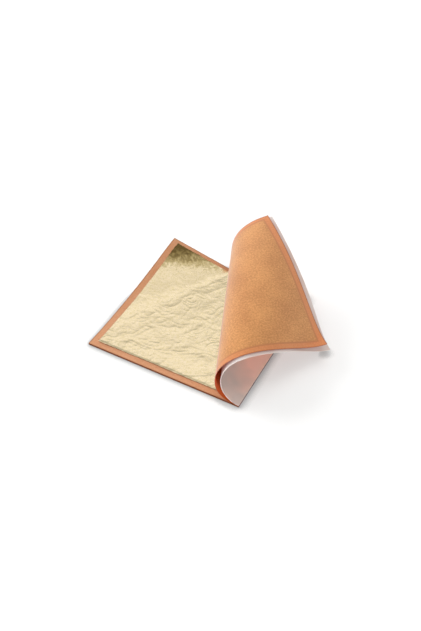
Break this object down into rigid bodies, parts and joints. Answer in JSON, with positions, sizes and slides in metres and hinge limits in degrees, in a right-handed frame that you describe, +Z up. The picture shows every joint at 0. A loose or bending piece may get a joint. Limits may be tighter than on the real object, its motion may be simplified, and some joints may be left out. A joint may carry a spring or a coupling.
{
  "type": "gold leaf booklet",
  "caption": "Square booklet of rouged tissues with a gold leaf on each, lying open: the cover and first tissue curl over the spine, and one leaf lies bare on the block.",
  "frame": {"origin": "middle of the pages on the underside of the back cover, which lies on the table", "axes": "+Z up, the spine along Y at +X, the fore edge at -X"},
  "size_m": [0.1112, 0.1082, 0.0305],
  "materials": {
    "gold_leaf": "crinkled metal leaf",
    "rouged_tissue": "matt orange rouge on tissue",
    "cover_paper": "smooth pale paper",
    "dried_glue": "matt dark glue"
  },
  "bodies": {
    "block": {"back_cover": "cover_paper", "rouged_tissue_02": "rouged_tissue", "rouged_tissue_03": "rouged_tissue", "rouged_tissue_04": "rouged_tissue", "rouged_tissue_05": "rouged_tissue", "rouged_tissue_06": "rouged_tissue", "rouged_tissue_07": "rouged_tissue", "rouged_tissue_08": "rouged_tissue", "rouged_tissue_09": "rouged_tissue", "rouged_tissue_10": "rouged_tissue", "rouged_tissue_11": "rouged_tissue", "rouged_tissue_12": "rouged_tissue", "rouged_tissue_13": "rouged_tissue", "rouged_tissue_14": "rouged_tissue", "rouged_tissue_15": "rouged_tissue", "rouged_tissue_16": "rouged_tissue", "rouged_tissue_17": "rouged_tissue", "rouged_tissue_18": "rouged_tissue", "rouged_tissue_19": "rouged_tissue", "rouged_tissue_20": "rouged_tissue", "rouged_tissue_21": "rouged_tissue", "rouged_tissue_22": "rouged_tissue", "rouged_tissue_23": "rouged_tissue", "rouged_tissue_24": "rouged_tissue", "rouged_tissue_25": "rouged_tissue", "gold_leaf_03": "gold_leaf", "gold_leaf_04": "gold_leaf", "gold_leaf_05": "gold_leaf", "gold_leaf_06": "gold_leaf", "gold_leaf_07": "gold_leaf", "gold_leaf_08": "gold_leaf", "gold_leaf_09": "gold_leaf", "gold_leaf_10": "gold_leaf", "gold_leaf_11": "gold_leaf", "gold_leaf_12": "gold_leaf", "gold_leaf_13": "gold_leaf", "gold_leaf_14": "gold_leaf", "gold_leaf_15": "gold_leaf", "gold_leaf_16": "gold_leaf", "gold_leaf_17": "gold_leaf", "gold_leaf_18": "gold_leaf", "gold_leaf_19": "gold_leaf", "gold_leaf_20": "gold_leaf", "gold_leaf_21": "gold_leaf", "gold_leaf_22": "gold_leaf", "gold_leaf_23": "gold_leaf", "gold_leaf_24": "gold_leaf", "gold_leaf_25": "gold_leaf", "spine_glue": "dried_glue"},
    "turned_sheets": {"rouged_tissue_01": "rouged_tissue", "gold_leaf_01": "gold_leaf", "front_cover": "cover_paper"},
    "bare_leaf": {"gold_leaf_02": "gold_leaf"}
  },
  "joints": [
    {"name": "turned_sheets_open", "type": "hinge", "parent": "block", "child": "turned_sheets", "pos_m": [0.043, 0, 0.00102], "axis": [0, 1, 0], "range_deg": [0, 6]},
    {"name": "bare_leaf_slide", "type": "slide", "parent": "block", "child": "bare_leaf", "axis": [0, -1, 0], "range_m": [0, 0.085]}
  ]
}
